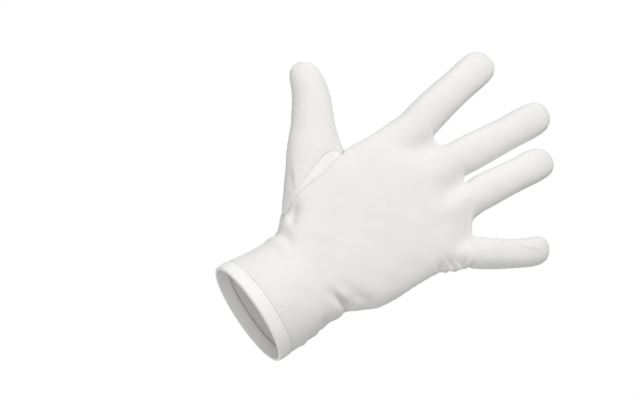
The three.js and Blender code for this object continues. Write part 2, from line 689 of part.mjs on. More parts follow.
// The hem's section, folded under at its lower edge. out is a share of the hem's cloth, up of its
// height without the seam's gap.
const HEM_PROFILE = [
  { out: 0.00, up: 1.00 },
  { out: 0.14, up: 0.82 },
  { out: 0.16, up: 0.40 },
  { out: 0.02, up: 0.06 },
  { out: -0.25, up: 0.00 },
  { out: -0.65, up: 0.00 },
  { out: -0.86, up: 0.08 },
  { out: -0.86, up: 1.00 },
];

// The folded band round the wrist opening
function hemGeometry() {
  const positions = [];
  const indices = [];
  const sides = 2 * (COLUMNS + 2);
  const height = HEM_HEIGHT - SEAM_GAP;
  for (let side = 0; side < sides; side += 1) {
    const angle = (360 * side) / sides;
    for (const { out, up } of HEM_PROFILE) {
      const point = handPoint(up * height, angle);
      const outward = new THREE.Vector3(point.x, point.y, 0).normalize();
      point.addScaledVector(outward, out * HEM_CLOTH);
      positions.push(point.x, point.y, point.z);
    }
  }
  const count = HEM_PROFILE.length;
  for (let side = 0; side < sides; side += 1) {
    for (let i = 0; i < count; i += 1) {
      const here = side * count;
      const there = ((side + 1) % sides) * count;
      const next = (i + 1) % count;
      indices.push(here + i, here + next, there + next, here + i, there + next, there + i);
    }
  }
  return meshGeometry(positions, indices);
}

function clothMesh(name, geometry, colour) {
  const material = new THREE.MeshStandardMaterial({ color: colour, roughness: ROUGHNESS });
  const mesh = new THREE.Mesh(geometry, material);
  mesh.name = name;
  return mesh;
}

function glove() {
  const skin = new Skin();
  const rows = addHand(skin);
  addFingers(skin, rows[rows.length - 1]);
  const gussetShares = addThumb(skin, rows);
  addFolds(skin);
  const normals = skin.normals();
  const group = new THREE.Group();
  group.add(clothMesh('cuff_hem', hemGeometry(), HEM_COLOUR));
  for (const name of ['back_panel', 'palm_panel', 'thumb_back', 'thumb_front']) {
    group.add(clothMesh(name, pieceGeometry(skin, normals, name, () => 0), CLOTH_COLOUR));
  }
  const proudOf = (id) => (gussetShares.get(id) ?? 0) * (DOUBLED_CLOTH - CLOTH);
  const gusset = pieceGeometry(skin, normals, 'thumb_gusset', proudOf);
  group.add(clothMesh('thumb_gusset', gusset, HEM_COLOUR));
  return group;
}

const group = glove();

export default group;
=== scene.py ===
"""A white knitted dress glove: its cloth, seams and stitches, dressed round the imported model."""

import math

import bmesh
import bpy
import numpy as np
from bpy.props import FloatProperty, FloatVectorProperty, PointerProperty
from mathutils import Matrix, Vector
from mathutils.kdtree import KDTree


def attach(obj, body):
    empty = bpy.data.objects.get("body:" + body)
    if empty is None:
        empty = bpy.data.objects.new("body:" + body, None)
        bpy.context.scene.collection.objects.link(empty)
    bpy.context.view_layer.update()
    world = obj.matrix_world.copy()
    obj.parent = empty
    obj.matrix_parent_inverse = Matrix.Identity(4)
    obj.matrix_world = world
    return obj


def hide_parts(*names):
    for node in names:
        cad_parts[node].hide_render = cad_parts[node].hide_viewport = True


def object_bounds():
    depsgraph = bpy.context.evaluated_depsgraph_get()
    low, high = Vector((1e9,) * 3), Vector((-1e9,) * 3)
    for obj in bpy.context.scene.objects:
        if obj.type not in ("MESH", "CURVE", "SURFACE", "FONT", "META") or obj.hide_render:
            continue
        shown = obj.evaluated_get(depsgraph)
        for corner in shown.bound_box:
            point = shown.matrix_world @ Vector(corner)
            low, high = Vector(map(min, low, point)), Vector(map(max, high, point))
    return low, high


bl_info = {
    "name": "Dress glove",
    "version": (1, 0, 0),
    "blender": (4, 5, 0),
    "location": "View3D > Sidebar > Glove",
    "description": "Dresses a knitted dress glove: its panels, thumb, hem, seams and stitches",
    "category": "Object",
}

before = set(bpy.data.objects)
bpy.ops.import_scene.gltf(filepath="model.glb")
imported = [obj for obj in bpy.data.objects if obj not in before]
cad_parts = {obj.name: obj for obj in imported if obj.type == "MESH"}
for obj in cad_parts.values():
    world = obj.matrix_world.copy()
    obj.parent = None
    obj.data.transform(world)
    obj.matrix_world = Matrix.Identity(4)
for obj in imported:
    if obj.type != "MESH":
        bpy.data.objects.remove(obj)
CAD_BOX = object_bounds()

# Lengths in the tables and functions are in metres, and MM turns millimetres into them
MM = 0.001

PANELS = ("back_panel", "palm_panel")
THUMB = ("thumb_back", "thumb_front", "thumb_gusset")
SHELLS = PANELS + THUMB
HEM = "cuff_hem"

# Small folds from the cloth's own stiffness, in millimetres. x and z place the fold's middle, turn
# is its direction in degrees from +X to +Z, long and wide are its half length and half width, rise
# its height, below zero in a hollow. side is "back", "both", or "panel" for the back panel alone,
# so that the thumb's seam stands proud beside the hollow.
FOLDS = (
    {"side": "panel", "x": -33.3, "z": 51.4, "turn": -42, "long": 9.5, "wide": 2.3, "rise": -1.6},
    {"side": "back", "x": -22.0, "z": 37.5, "turn": -10, "long": 8.0, "wide": 1.6, "rise": -0.5},
    {"side": "back", "x": 24.2, "z": 47.8, "turn": 25, "long": 9.5, "wide": 0.85, "rise": -2.0},
    {"side": "back", "x": 22.2, "z": 49.1, "turn": 24, "long": 8.0, "wide": 0.8, "rise": 0.45},
    {"side": "both", "x": 27.6, "z": 33.7, "turn": 62, "long": 4.5, "wide": 1.0, "rise": -0.6},
    {"side": "back", "x": -49.0, "z": 62.8, "turn": -35, "long": 9.0, "wide": 0.9, "rise": -0.8},
    {"side": "both", "x": 42.4, "z": 108.6, "turn": 12, "long": 7.5, "wide": 0.9, "rise": -0.5},
    {"side": "both", "x": 43.4, "z": 112.6, "turn": 14, "long": 8.0, "wide": 0.9, "rise": -0.6},
    {"side": "both", "x": 44.2, "z": 116.8, "turn": 16, "long": 8.5, "wide": 0.9, "rise": -0.6},
    {"side": "both", "x": 45.2, "z": 121.0, "turn": 20, "long": 8.0, "wide": 0.9, "rise": -0.5},
    {"side": "back", "x": 58.0, "z": 162.4, "turn": 51, "long": 15.0, "wide": 1.3, "rise": 0.6},
)

# Where a fold of the back begins to fade and is gone, going through the glove to the palm
BACK_FADES = (-2.0, 1.0)

# Slow waves over all the cloth: their length and height in millimetres and their direction
WAVES = (
    {"length": 23.0, "height": 0.10, "across": 0.9, "through": 0.2, "along": 0.4},
    {"length": 15.0, "height": 0.06, "across": -0.5, "through": 0.3, "along": 0.8},
    {"length": 9.5, "height": 0.035, "across": 0.7, "through": -0.4, "along": -0.6},
)

# From how near a seam to how far the cloth goes over from the seam's way out to its own, the
# folds go from FOLD_AT_SEAM to their full height, and the waves from nothing to theirs
OWN_WAY = (1 * MM, 3.5 * MM)
FOLDS_GROW = (0.4 * MM, 2.4 * MM)
FOLD_AT_SEAM = 0.3
WAVES_GROW = (1 * MM, 6 * MM)

# How far from a seam its puckers and its painted shade reach, and the height of fold that
# is worth finer faces
PUCKER_REACH = 4 * MM
SHADE_REACH = 1.6 * MM
FOLD_SEEN = 0.05 * MM

# The turned-in cloth along a seam: how far its places lie apart, its ribs' length and height, how
# far its ends taper and how blunt they are, its half thickness, and how far below the cloth it is
TURNING_STEP = 0.6 * MM
RIB_LENGTH = 1.8 * MM
RIB_HEIGHT = 0.1
TAPER_LENGTH = 2 * MM
TAPER_END = 0.15
TURNING_HALF = 0.62 * MM
TURNING_BELOW = 0.15 * MM

# The thickness of a stitch's thread from end to end, as shares of the thread's radius
STITCH_SHAPE = (0.35, 0.9, 1.0, 1.0, 0.9, 0.35)


class GloveSizes(bpy.types.PropertyGroup):
    """The sizes and colours of the glove's cloth and sewing."""

    cloth_colour: FloatVectorProperty(
        name="Cloth", description="The cloth where light reaches it", subtype="COLOR",
        size=3, min=0, max=1, default=(0.855, 0.846, 0.826),
    )
    # The darker tone of the cloth's random mottling, also used as painted shade along the seams and
    # in the hollows between the knit's loops
    shade_colour: FloatVectorProperty(
        name="Shade", description="The cloth's darker mottling and seams", subtype="COLOR",
        size=3, min=0, max=1, default=(0.770, 0.764, 0.748),
    )
    hem_colour: FloatVectorProperty(
        name="Doubled cloth", description="The cloth where it lies double", subtype="COLOR",
        size=3, min=0, max=1, default=(0.930, 0.925, 0.915),
    )
    thread_colour: FloatVectorProperty(
        name="Thread", description="The sewing thread's colour", subtype="COLOR",
        size=3, min=0, max=1, default=(0.880, 0.880, 0.870),
    )
    wale: FloatProperty(
        name="Wale", description="The width of one column of the knit", unit="LENGTH",
        default=0.75 * MM, min=0.3 * MM, max=3 * MM,
    )
    knit_depth: FloatProperty(
        name="Knit depth", description="How deep the knit's columns are", unit="LENGTH",
        default=0.10 * MM, min=0, max=1 * MM,
    )
    fold_share: FloatProperty(
        name="Folds", description="The share of the small folds' full height", default=1.0,
        min=0, max=2,
    )
    seam_dip: FloatProperty(
        name="Seam dip", description="How far the cloth turns in at a seam", unit="LENGTH",
        default=0.15 * MM, min=0, max=1 * MM,
    )
    seam_reach: FloatProperty(
        name="Seam reach", description="How far from a seam the cloth turns in", unit="LENGTH",
        default=1.1 * MM, min=0.2 * MM, max=5 * MM,
    )
    pucker: FloatProperty(
        name="Pucker", description="The height of the puckers beside a seam", unit="LENGTH",
        default=0.14 * MM, min=0, max=1 * MM,
    )
    stitch: FloatProperty(
        name="Stitch", description="The distance from one stitch to the next", unit="LENGTH",
        default=2.4 * MM, min=1 * MM, max=6 * MM,
    )
    thread: FloatProperty(
        name="Thread radius", description="Half the thread's thickness", unit="LENGTH",
        default=0.14 * MM, min=0.05 * MM, max=0.5 * MM,
    )
    turning: FloatProperty(
        name="Turning", description="How wide the cloth is turned in along the seams",
        unit="LENGTH", default=2.4 * MM, min=1 * MM, max=5 * MM,
    )
    floor_colour: FloatVectorProperty(
        name="Floor", description="The studio floor", subtype="COLOR",
        size=3, min=0, max=1, default=(0.90, 0.90, 0.90),
    )


def sizes():
    return bpy.context.scene.glove_sizes


# Arrays of points and meshes

def coordinates(mesh):
    flat = np.empty(len(mesh.vertices) * 3, np.float32)
    mesh.vertices.foreach_get("co", flat)
    return flat.reshape(-1, 3).astype(float)


def normals_of(mesh):
    flat = np.empty(len(mesh.vertices) * 3, np.float32)
    mesh.vertex_normals.foreach_get("vector", flat)
    return flat.reshape(-1, 3).astype(float)


def set_coordinates(mesh, points):
    mesh.vertices.foreach_set("co", points.astype(np.float32).ravel())
    mesh.update()


def values_of(mesh, name):
    flat = np.empty(len(mesh.vertices), np.float32)
    mesh.attributes[name].data.foreach_get("value", flat)
    return flat.astype(float)


def keep_values(mesh, name, values):
    """Stores one number for each point, for the material to read."""
    layer = mesh.attributes.get(name) or mesh.attributes.new(name, "FLOAT", "POINT")
    layer.data.foreach_set("value", values.astype(np.float32))


def smooth_step(values, low, high):
    """0 below low, 1 above high and a smooth slope between."""
    t = np.clip((values - low) / (high - low), 0, 1)
    return t * t * (3 - 2 * t)


def unit(vectors):
    lengths = np.linalg.norm(vectors, axis=-1, keepdims=True)
    return vectors / np.maximum(lengths, 1e-12)


def place(name, mesh, material, node=None):
    """Adds a finished mesh to the scene as one piece of the glove, in place of a CAD node."""
    mesh.shade_smooth()
    mesh.materials.clear()
    mesh.materials.append(material)
    obj = bpy.data.objects.new(name, mesh)
    bpy.context.scene.collection.objects.link(obj)
    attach(obj, "root")
    if node:
        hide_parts(node)
    return obj


class Cage:
    """A CAD node's walls, welded into four-sided faces and told apart into outside, inside and
    cut edge."""

    CORNER = math.radians(48)
    ROUNDS = 6

    def __init__(self, node):
        self.node = node
        grid = bmesh.new()
        grid.from_mesh(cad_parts[node].data)
        bmesh.ops.remove_doubles(grid, verts=grid.verts, dist=1e-6)
        bmesh.ops.join_triangles(
            grid, faces=grid.faces, angle_face_threshold=math.radians(60),
            angle_shape_threshold=math.pi, topology_influence=2.0,
        )
        bmesh.ops.recalc_face_normals(grid, faces=grid.faces)
        for items in (grid.verts, grid.edges, grid.faces):
            items.index_update()
            items.ensure_lookup_table()
        layers = self.find_layers(grid)
        on_outside = np.zeros(len(grid.verts))
        on_cut = np.zeros(len(grid.verts))
        outward = np.zeros((len(grid.verts), 3))
        for face in grid.faces:
            for vert in face.verts:
                if layers[face.index] == 0:
                    on_outside[vert.index] = 1
                    outward[vert.index] += np.array(face.normal) * face.calc_area()
                elif layers[face.index] > 1:
                    on_cut[vert.index] = 1
        row = self.follow_border(grid, layers)
        self.border = np.array([grid.verts[i].co for i in row], float)
        self.outward = unit(outward[row])
        crease = grid.edges.layers.float.new("crease_edge")
        for edge in grid.edges:
            edge[crease] = float(len({layers[face.index] for face in edge.link_faces}) > 1)
        self.mesh = bpy.data.meshes.new(node + "_cage")
        grid.to_mesh(self.mesh)
        grid.free()
        keep_values(self.mesh, "outside", on_outside)
        keep_values(self.mesh, "cut", on_cut)

    def find_layers(self, grid):
        """A number for each face: 0 on the outside, which is the largest group of faces that no
        corner edge parts, 1 on the inside and more on the cut edges."""
        left = set(range(len(grid.faces)))
        groups = []
        while left:
            todo = [left.pop()]
            found = set(todo)
            while todo:
                for edge in grid.faces[todo.pop()].edges:
                    if edge.calc_face_angle(0) > self.CORNER:
                        continue
                    for face in edge.link_faces:
                        if face.index in left:
                            left.discard(face.index)
                            found.add(face.index)
                            todo.append(face.index)
            groups.append(found)
        groups.sort(key=lambda found: -sum(grid.faces[i].calc_area() for i in found))
        return {index: number for number, found in enumerate(groups) for index in found}

    def follow_border(self, grid, layers):
        """The points round the outside's border, in order from its highest one."""
        ways = {}
        for edge in grid.edges:
            if sum(layers[face.index] == 0 for face in edge.link_faces) == 1:
                a, b = (vert.index for vert in edge.verts)
                ways.setdefault(a, []).append(b)
                ways.setdefault(b, []).append(a)
        start = max(ways, key=lambda index: grid.verts[index].co.z)
        row = [start]
        seen = {start}
        while True:
            ahead = [n for n in ways[row[-1]] if n not in seen]
            if not ahead:
                return row
            row.append(ahead[0])
            seen.add(ahead[0])

    def fine(self, levels):
        """A finely divided copy whose surface still runs through the cage's own points."""
        obj = bpy.data.objects.new("fine", self.mesh)
        bpy.context.scene.collection.objects.link(obj)
        divide = obj.modifiers.new("divide", "SUBSURF")
        divide.levels = divide.render_levels = 1
        wanted = coordinates(self.mesh)
        cage = wanted.copy()
        for _ in range(self.ROUNDS):
            limit = self.evaluated(obj)
            cage += wanted - coordinates(limit)[: len(wanted)]
            bpy.data.meshes.remove(limit)
            set_coordinates(self.mesh, cage)
        divide.levels = divide.render_levels = levels
        mesh = self.evaluated(obj)
        bpy.data.objects.remove(obj)
        mesh.name = self.node + "_cloth"
        return mesh

    @staticmethod
    def evaluated(obj):
        bpy.context.view_layer.update()
        graph = bpy.context.evaluated_depsgraph_get()
        return bpy.data.meshes.new_from_object(obj.evaluated_get(graph))


class Seam:
    """A row of points where two sewn pieces meet, with the way out of the cloth at each."""

    def __init__(self, pair, points, outward):
        self.pair = pair
        steps = np.linalg.norm(np.diff(points, axis=0), axis=1)
        self.along = np.concatenate([[0], np.cumsum(steps)])
        self.points = points
        self.outward = outward

    def resampled(self, step):
        """Places a step apart on a smooth line through the seam: points, directions, ways out."""
        count = max(int(self.along[-1] / step), 2)
        at = np.linspace(0, self.along[-1], count + 1)
        points = np.stack([self.curve(at, self.points[:, i]) for i in range(3)], 1)
        outward = [np.interp(at, self.along, self.outward[:, i]) for i in range(3)]
        outward = unit(np.stack(outward, 1))
        forward = unit(np.gradient(points, axis=0))
        outward = unit(outward - forward * (outward * forward).sum(1, keepdims=True))
        return at, points, forward, outward

    def curve(self, at, values):
        """A cubic through the values, with slopes from their neighbours."""
        slopes = np.gradient(values, self.along)
        i = np.clip(np.searchsorted(self.along, at, side="right") - 1, 0, len(self.along) - 2)
        span = self.along[i + 1] - self.along[i]
        t = (at - self.along[i]) / span
        a, b = values[i], values[i + 1]
        ease = t * t * (3 - 2 * t)
        leave = t * (1 - t) ** 2 * span * slopes[i]
        arrive = t * t * (t - 1) * span * slopes[i + 1]
        return a + (b - a) * ease + leave + arrive


def tree_of(points):
    tree = KDTree(len(points))
    for i, point in enumerate(points):
        tree.insert(point, i)
    tree.balance()
    return tree


def nearest_in(tree, points):
    """For each point the nearest one's index in a tree, and its distance."""
    index = np.empty(len(points), int)
    distance = np.empty(len(points))
    for i, point in enumerate(points):
        _, index[i], distance[i] = tree.find(point)
    return index, distance


def nearest_on(line, point):
    """The nearest place to a point on a closed line, and its distance."""
    ends = np.roll(line, -1, axis=0) - line
    share = ((point - line) * ends).sum(1) / np.maximum((ends * ends).sum(1), 1e-18)
    places = line + ends * np.clip(share, 0, 1)[:, None]
    distances = np.linalg.norm(places - point, axis=1)
    best = distances.argmin()
    return places[best], distances[best]


def find_seams(cages):
    """Each stretch of border that faces another piece's border, once for each pair of pieces, on
    the middle line of the gap between them. The short ones reach the seams at their ends."""
    names = list(cages)
    seams = []
    for name, cage in cages.items():
        faced = []
        middles = []
        for point in cage.border:
            near = {o: nearest_on(cages[o].border, point) for o in names if o != name}
            other = min(near, key=lambda o: near[o][1])
            faced.append(other)
            middles.append((point + near[other][0]) / 2)
        middles = np.array(middles)
        count = len(faced)
        turn = next((i for i in range(count) if faced[i] != faced[i - 1]), 0)
        order = [(turn + i) % count for i in range(count)]
        run = [order[0]]
        for i in order[1:] + [order[0]]:
            if faced[i] == faced[run[-1]] and i != order[0]:
                run.append(i)
                continue
            other = faced[run[0]]
            if names.index(name) < names.index(other):
                if len(run) < 3:
                    run = [run[0] - 1, *run, (run[-1] + 1) % count]
                seams.append(Seam((name, other), middles[run], cage.outward[run]))
            run = [i]
    return seams


class Sewing:
    """What every piece needs to know of its seams: how far they are and how far along."""

    STEP = 0.6 * MM

    # How far a cut edge moves at most, and how far beside it the cloth moves too
    MOST = 0.4 * MM
    REACH = 1.6 * MM

    def __init__(self, seams):
        rows = [seam.resampled(self.STEP) for seam in seams]
        self.places, self.points, self.forward, self.outward = (
            np.concatenate(column) for column in zip(*rows)
        )
        self.tree = tree_of(self.points)

    def near(self, points):
        """For each point the nearest seam place's index and its distance."""
        return nearest_in(self.tree, points)

    def close(self, points, outside, cut):
        """Draws the cut edges at the seams close to each other, and the cloth beside them a
        little. Their outer corners come to one height too."""
        edges = points[cut]
        index, distance = self.near(edges)
        towards = self.points[index] - edges
        towards -= self.along(towards, self.forward[index])
        towards -= self.along(towards, self.outward[index]) * (1 - outside[cut])[:, None]
        gap = np.linalg.norm(towards, axis=1)
        move = np.clip(gap, 0, self.MOST) * (distance < self.REACH)
        moves = unit(towards) * move[:, None]
        nearest, apart = nearest_in(tree_of(edges), points)
        return points + moves[nearest] * (1 - smooth_step(apart, 0, self.REACH))[:, None]

    @staticmethod
    def along(vectors, ways):
        return ways * (vectors * ways).sum(1, keepdims=True)


def fold_rise(node, points):
    """How far the small folds raise a piece's cloth at each point, in metres."""
    x, y, z = (points / MM).T
    rise = np.zeros(len(points))
    for fold in FOLDS:
        if fold["side"] == "panel" and node != "back_panel":
            continue
        turn = math.radians(fold["turn"])
        dx, dz = x - fold["x"], z - fold["z"]
        along = (dx * math.cos(turn) + dz * math.sin(turn)) / fold["long"]
        beside = (dz * math.cos(turn) - dx * math.sin(turn)) / fold["wide"]
        fade = np.clip(1 - along * along, 0, 1) ** 2
        side = 1.0 if fold["side"] == "both" else 1 - smooth_step(y, *BACK_FADES)
        rise += fold["rise"] * fade * np.exp(-beside * beside) * side
    return rise * MM


def wave_rise(points):
    rise = np.zeros(len(points))
    for wave in WAVES:
        way = np.array([wave["across"], wave["through"], wave["along"]])
        phase = 2 * math.pi * (points @ way) / (wave["length"] * MM)
        rise += wave["height"] * MM * np.sin(phase)
    return rise


def refine(mesh, node):
    """Divides a piece's faces in three each way where the small folds need it."""
    grid = bmesh.new()
    grid.from_mesh(mesh)
    middles = np.array([face.calc_center_median() for face in grid.faces])
    folded = np.abs(fold_rise(node, middles)) > FOLD_SEEN
    edges = [e for e in grid.edges if any(folded[face.index] for face in e.link_faces)]
    bmesh.ops.subdivide_edges(grid, edges=edges, cuts=2, use_grid_fill=True)
    grid.to_mesh(mesh)
    grid.free()


def dress_shell(cage, sewing, levels):
    """One sewn piece as fine cloth, with its folds, its puckers and its edges turned in."""
    mesh = cage.fine(levels)
    refine(mesh, cage.node)
    look = sizes()
    outside = values_of(mesh, "outside")
    cut = values_of(mesh, "cut") > 0.99
    outward = normals_of(mesh) * np.where(outside > 0.5, 1.0, -1.0)[:, None]
    points = sewing.close(coordinates(mesh), outside, cut)
    index, distance = sewing.near(points)
    along = sewing.places[index]
    common = np.where(cut, 1.0, 1 - smooth_step(distance, *OWN_WAY))[:, None]
    outward = unit(outward * (1 - common) + sewing.outward[index] * common)
    beside = np.exp(-((distance / look.seam_reach) ** 2))
    pucker_fade = np.exp(-((distance / PUCKER_REACH) ** 2)) * (1 - beside)
    puckers = look.pucker * np.cos(2 * math.pi * along / (2 * look.stitch)) * pucker_fade
    folded = FOLD_AT_SEAM + (1 - FOLD_AT_SEAM) * smooth_step(distance, *FOLDS_GROW)
    rise = look.fold_share * fold_rise(cage.node, points) * folded
    rise += smooth_step(distance, *WAVES_GROW) * wave_rise(points) + puckers
    rise -= look.seam_dip * beside
    set_coordinates(mesh, points + outward * rise[:, None])
    # Nearness to a seam, which the material turns into painted shade along the seam's dip
    keep_values(mesh, "seam", np.exp(-((distance / SHADE_REACH) ** 2)))
    for name in ("outside", "cut"):
        mesh.attributes.remove(mesh.attributes[name])
    return mesh


def tube(points, forward, outward, across_radius, outward_radius, sides):
    """Closed tubes of oval section round a row of points. The radii are numbers or rows."""
    count = len(points)
    across = np.cross(forward, outward)
    across_radius = np.broadcast_to(across_radius, count)
    outward_radius = np.broadcast_to(outward_radius, count)
    rings = []
    for side in range(sides):
        angle = 2 * math.pi * side / sides
        rings.append(
            points
            + across * (math.cos(angle) * across_radius)[:, None]
            + outward * (math.sin(angle) * outward_radius)[:, None]
        )
    rings = np.stack(rings, 1)
    verts = np.concatenate([rings.reshape(-1, 3), points[:1], points[-1:]])
    faces = []
    for ring in range(count - 1):
        for side in range(sides):
            a = ring * sides + side
            b = ring * sides + (side + 1) % sides
            faces.append((a, b, b + sides, a + sides))
    first, last = count * sides, count * sides + 1
    for side in range(sides):
        step = (side + 1) % sides
        faces.append((first, step, side))
        faces.append((last, (count - 1) * sides + side, (count - 1) * sides + step))
    return verts, faces


def join(parts):
    """One list of points and faces from several."""
    points, faces, base = [], [], 0
    for some_points, some_faces in parts:
        points.append(some_points)
        faces.extend(tuple(i + base for i in face) for face in some_faces)
        base += len(some_points)
    return np.concatenate(points), faces


def mesh_of(name, points, faces):
    mesh = bpy.data.meshes.new(name)
    mesh.from_pydata(points.tolist(), [], faces)
    grid = bmesh.new()
    grid.from_mesh(mesh)
    bmesh.ops.recalc_face_normals(grid, faces=grid.faces)
    grid.to_mesh(mesh)
    grid.free()
    return mesh


def turnings(seam):
    """The two plies turned in along a seam and overlocked together, as a ribbed cord of cloth."""
    look = sizes()
    at, points, forward, outward = seam.resampled(TURNING_STEP)
    ribs = 1 + RIB_HEIGHT * np.cos(2 * math.pi * at / RIB_LENGTH)
    thick = ribs * np.clip(np.minimum(at, at[-1] - at) / TAPER_LENGTH, TAPER_END, 1)
    deep = look.turning / 2
    middle = points - outward * (look.seam_dip + TURNING_BELOW + deep)
    return tube(middle, forward, outward, TURNING_HALF * thick, deep * thick, 10)


def thread_stitch(middle, way, up, length, radius, arch):
    """One visible stitch: a short arched piece of thread."""
    t = np.linspace(-1, 1, len(STITCH_SHAPE))
    points = middle + np.outer(t * length / 2, way) + np.outer((1 - t * t) * arch, up)
    forward = unit(np.gradient(points, axis=0))
    outward = unit(up - forward * (forward @ up)[:, None])
    thick = radius * np.array(STITCH_SHAPE)
    return tube(points, forward, outward, thick, thick, 6)


# Materials

class Shader:
    """Adds nodes to a tree, a column at a time, and joins them."""

    def __init__(self, tree):
        self.tree = tree
        self.column = 0

    def node(self, kind, **settings):
        made = self.tree.nodes.new(kind)
        made.location = (self.column * 190, 0)
        self.column += 1
        for name, value in settings.items():
            setattr(made, name, value)
        return made

    def math(self, operation, *values):
        made = self.node("ShaderNodeMath", operation=operation)
        for socket, value in zip(made.inputs, values):
            self.feed(socket, value)
        return made.outputs[0]

    def feed(self, socket, value):
        if isinstance(value, bpy.types.NodeSocket):
            self.tree.links.new(value, socket)
        else:
            socket.default_value = value

    def mix_colour(self, factor, first, second):
        made = self.node("ShaderNodeMix", data_type="RGBA")
        self.feed(made.inputs["Factor"], factor)
        self.feed(made.inputs["A"], first)
        self.feed(made.inputs["B"], second)
        return made.outputs["Result"]


def new_group(name, inputs, outputs):
    """An empty node group with its sockets, each given as a name and a type."""
    group = bpy.data.node_groups.new(name, "ShaderNodeTree")
    for label, kind in inputs:
        group.interface.new_socket(name=label, in_out="INPUT", socket_type="NodeSocket" + kind)
    for label, kind in outputs:
        group.interface.new_socket(name=label, in_out="OUTPUT", socket_type="NodeSocket" + kind)
    return group


def knit_group():
    """Columns of small V-shaped loops. The columns follow +Z and lie side by side along X, or
    along Y where the cloth faces sideways. The loops are lower than the columns."""
    sideways = 0.78
    loop_share = 0.35
    group = new_group(
        "knit_loops",
        (("Place", "Vector"), ("Facing", "Vector"), ("Wale", "Float"), ("Slant", "Float")),
        (("Height", "Float"),),
    )
    add = Shader(group)
    given = add.node("NodeGroupInput")
    place_at = add.node("ShaderNodeSeparateXYZ")
    facing = add.node("ShaderNodeSeparateXYZ")
    group.links.new(given.outputs["Place"], place_at.inputs[0])
    group.links.new(given.outputs["Facing"], facing.inputs[0])
    turned = add.math("GREATER_THAN", add.math("ABSOLUTE", facing.outputs["X"]), sideways)
    across = add.node("ShaderNodeMix", data_type="FLOAT")
    add.feed(across.inputs["Factor"], turned)
    add.feed(across.inputs["A"], place_at.outputs["X"])
    add.feed(across.inputs["B"], place_at.outputs["Y"])
    column = add.math("DIVIDE", across.outputs["Result"], given.outputs["Wale"])
    row = add.math("DIVIDE", place_at.outputs["Z"], given.outputs["Wale"])
    offset = add.math("ABSOLUTE", add.math("SUBTRACT", add.math("FRACT", column), 0.5))
    lean = add.math("MULTIPLY", offset, given.outputs["Slant"])
    course = add.math("MULTIPLY", add.math("ADD", row, lean), 2 * math.pi)
    ridge = add.math("COSINE", add.math("MULTIPLY", offset, 2 * math.pi))
    loops = add.math("MULTIPLY", add.math("COSINE", course), loop_share)
    height = add.math("MULTIPLY", add.math("ADD", add.math("ABSOLUTE", ridge), loops), 0.5)
    out = add.node("NodeGroupOutput")
    group.links.new(height, out.inputs["Height"])
    return group


def mottle_and_seam_shade_group():
    """Slow and fine unevenness of the cloth, and painted shade along the seams: a shade mask, a
    roughness and a height. The fine one repeats many times in each patch of the slow one."""
    fine_times = 22.0
    slow_shade, fine_shade, seam_shade, least_shade = 1.1, 0.5, 0.22, 0.22
    roughness, fine_roughness = 0.86, 0.12
    slow_height, fine_height = 0.6, 0.16
    group = new_group(
        "cloth_mottle_and_seam_shade",
        (("Place", "Vector"), ("Seam", "Float"), ("Patch size", "Float")),
        (("Shade", "Float"), ("Roughness", "Float"), ("Height", "Float")),
    )
    add = Shader(group)
    given = add.node("NodeGroupInput")
    scale = add.math("DIVIDE", 1.0, given.outputs["Patch size"])

    def noise(times, detail):
        made = add.node("ShaderNodeTexNoise")
        group.links.new(given.outputs["Place"], made.inputs["Vector"])
        add.feed(made.inputs["Scale"], add.math("MULTIPLY", scale, times))
        made.inputs["Detail"].default_value = detail
        return made.outputs["Fac"]

    slow = noise(1.0, 3.0)
    fine = noise(fine_times, 2.0)
    slub = add.math("SUBTRACT", fine, 0.5)
    patch = add.math("SUBTRACT", slow, 0.5)

    def mixed(first, first_share, second, second_share):
        first = add.math("MULTIPLY", first, first_share)
        return add.math("ADD", first, add.math("MULTIPLY", second, second_share))

    shade = mixed(patch, slow_shade, slub, fine_shade)
    # Painted shade along the seams, darkest at a seam
    shade = add.math("ADD", shade, add.math("MULTIPLY", given.outputs["Seam"], seam_shade))
    shade = add.math("MAXIMUM", add.math("ADD", shade, least_shade), 0.0)
    shade = add.math("MINIMUM", shade, 1.0)
    rough = add.math("ADD", add.math("MULTIPLY", slub, fine_roughness), roughness)
    height = mixed(slow, slow_height, fine, fine_height)
    out = add.node("NodeGroupOutput")
    group.links.new(shade, out.inputs["Shade"])
    group.links.new(rough, out.inputs["Roughness"])
    group.links.new(height, out.inputs["Height"])
    return group


def group_named(name, make):
    return bpy.data.node_groups.get(name) or make()


def rgba(colour):
    return (*colour, 1.0)


